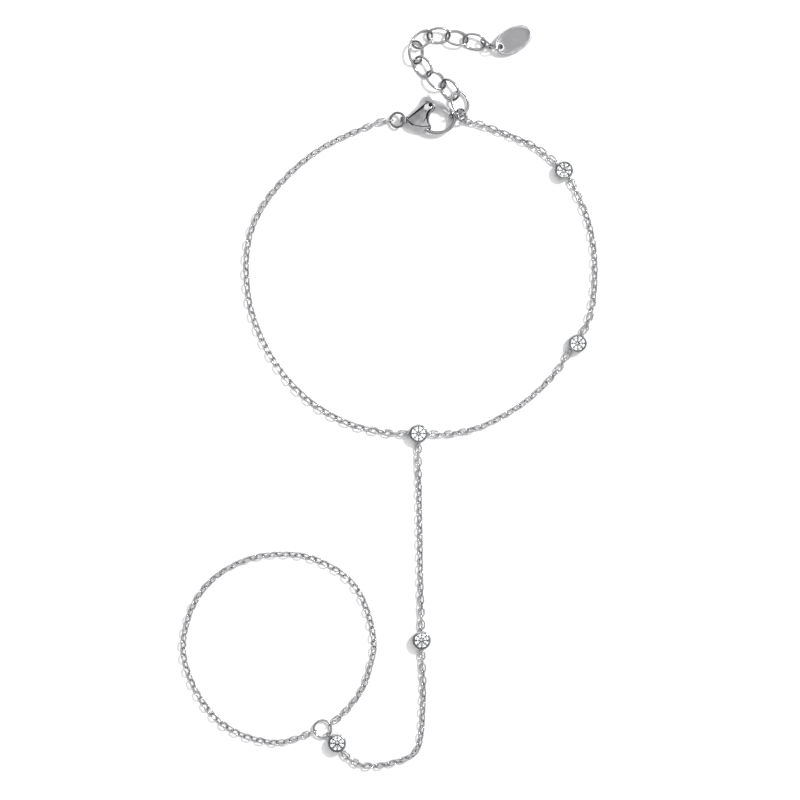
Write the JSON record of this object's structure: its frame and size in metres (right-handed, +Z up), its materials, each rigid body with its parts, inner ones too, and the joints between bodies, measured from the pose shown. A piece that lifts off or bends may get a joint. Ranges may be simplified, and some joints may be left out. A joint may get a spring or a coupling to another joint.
{
  "type": "hand chain bracelet",
  "caption": "Fine chain bracelet with lobster clasp and extender, joined by a chain over the hand to a finger loop, set with small round stones.",
  "frame": {"origin": "middle of the front setting's underside, on the surface that the bracelet lies on", "axes": "+Z up from the surface, +Y from the front setting across the wrist loop to the clasp, +X to the right seen from above"},
  "size_m": [0.0668, 0.119, 0.0027],
  "materials": {
    "chain_steel": "bright polished stainless steel wire",
    "polished_steel": "mirror polished stainless steel",
    "ring_steel": "polished stainless steel, a little darker",
    "tag_steel": "fine brushed face with a polished rim",
    "stone": "clear round brilliant cut stone"
  },
  "bodies": {
    "bracelet": {"wrist_chain_left": "chain_steel", "wrist_chain_front": "chain_steel", "wrist_chain_side": "chain_steel", "wrist_chain_back": "chain_steel", "hand_chain_upper": "chain_steel", "hand_chain_lower": "chain_steel", "finger_chain": "chain_steel", "finger_ring": "ring_steel", "clasp_ring": "ring_steel", "catch_ring": "ring_steel", "end_ring": "ring_steel", "tag_ring_1": "ring_steel", "tag_ring_2": "ring_steel", "extender_link_1": "ring_steel", "extender_link_2": "ring_steel", "extender_link_3": "ring_steel", "extender_link_4": "ring_steel", "extender_link_5": "ring_steel", "extender_link_6": "ring_steel", "extender_link_7": "ring_steel", "extender_link_8": "ring_steel", "extender_link_9": "ring_steel", "setting_1": "polished_steel", "setting_2": "polished_steel", "setting_3": "polished_steel", "setting_4": "polished_steel", "setting_5": "polished_steel", "stone_1": "stone", "stone_2": "stone", "stone_3": "stone", "stone_4": "stone", "stone_5": "stone", "clasp_body": "polished_steel", "clasp_rivet": "polished_steel", "tag": "tag_steel"},
    "lever": {"clasp_lever": "polished_steel"}
  },
  "joints": [
    {"name": "lever_hinge", "type": "hinge", "parent": "bracelet", "child": "lever", "pos_m": [0.0019, 0.05238, 0.00132], "axis": [0, 0, -1], "range_deg": [0, 28], "stiffness_Nm_per_rad": 0.0005}
  ]
}
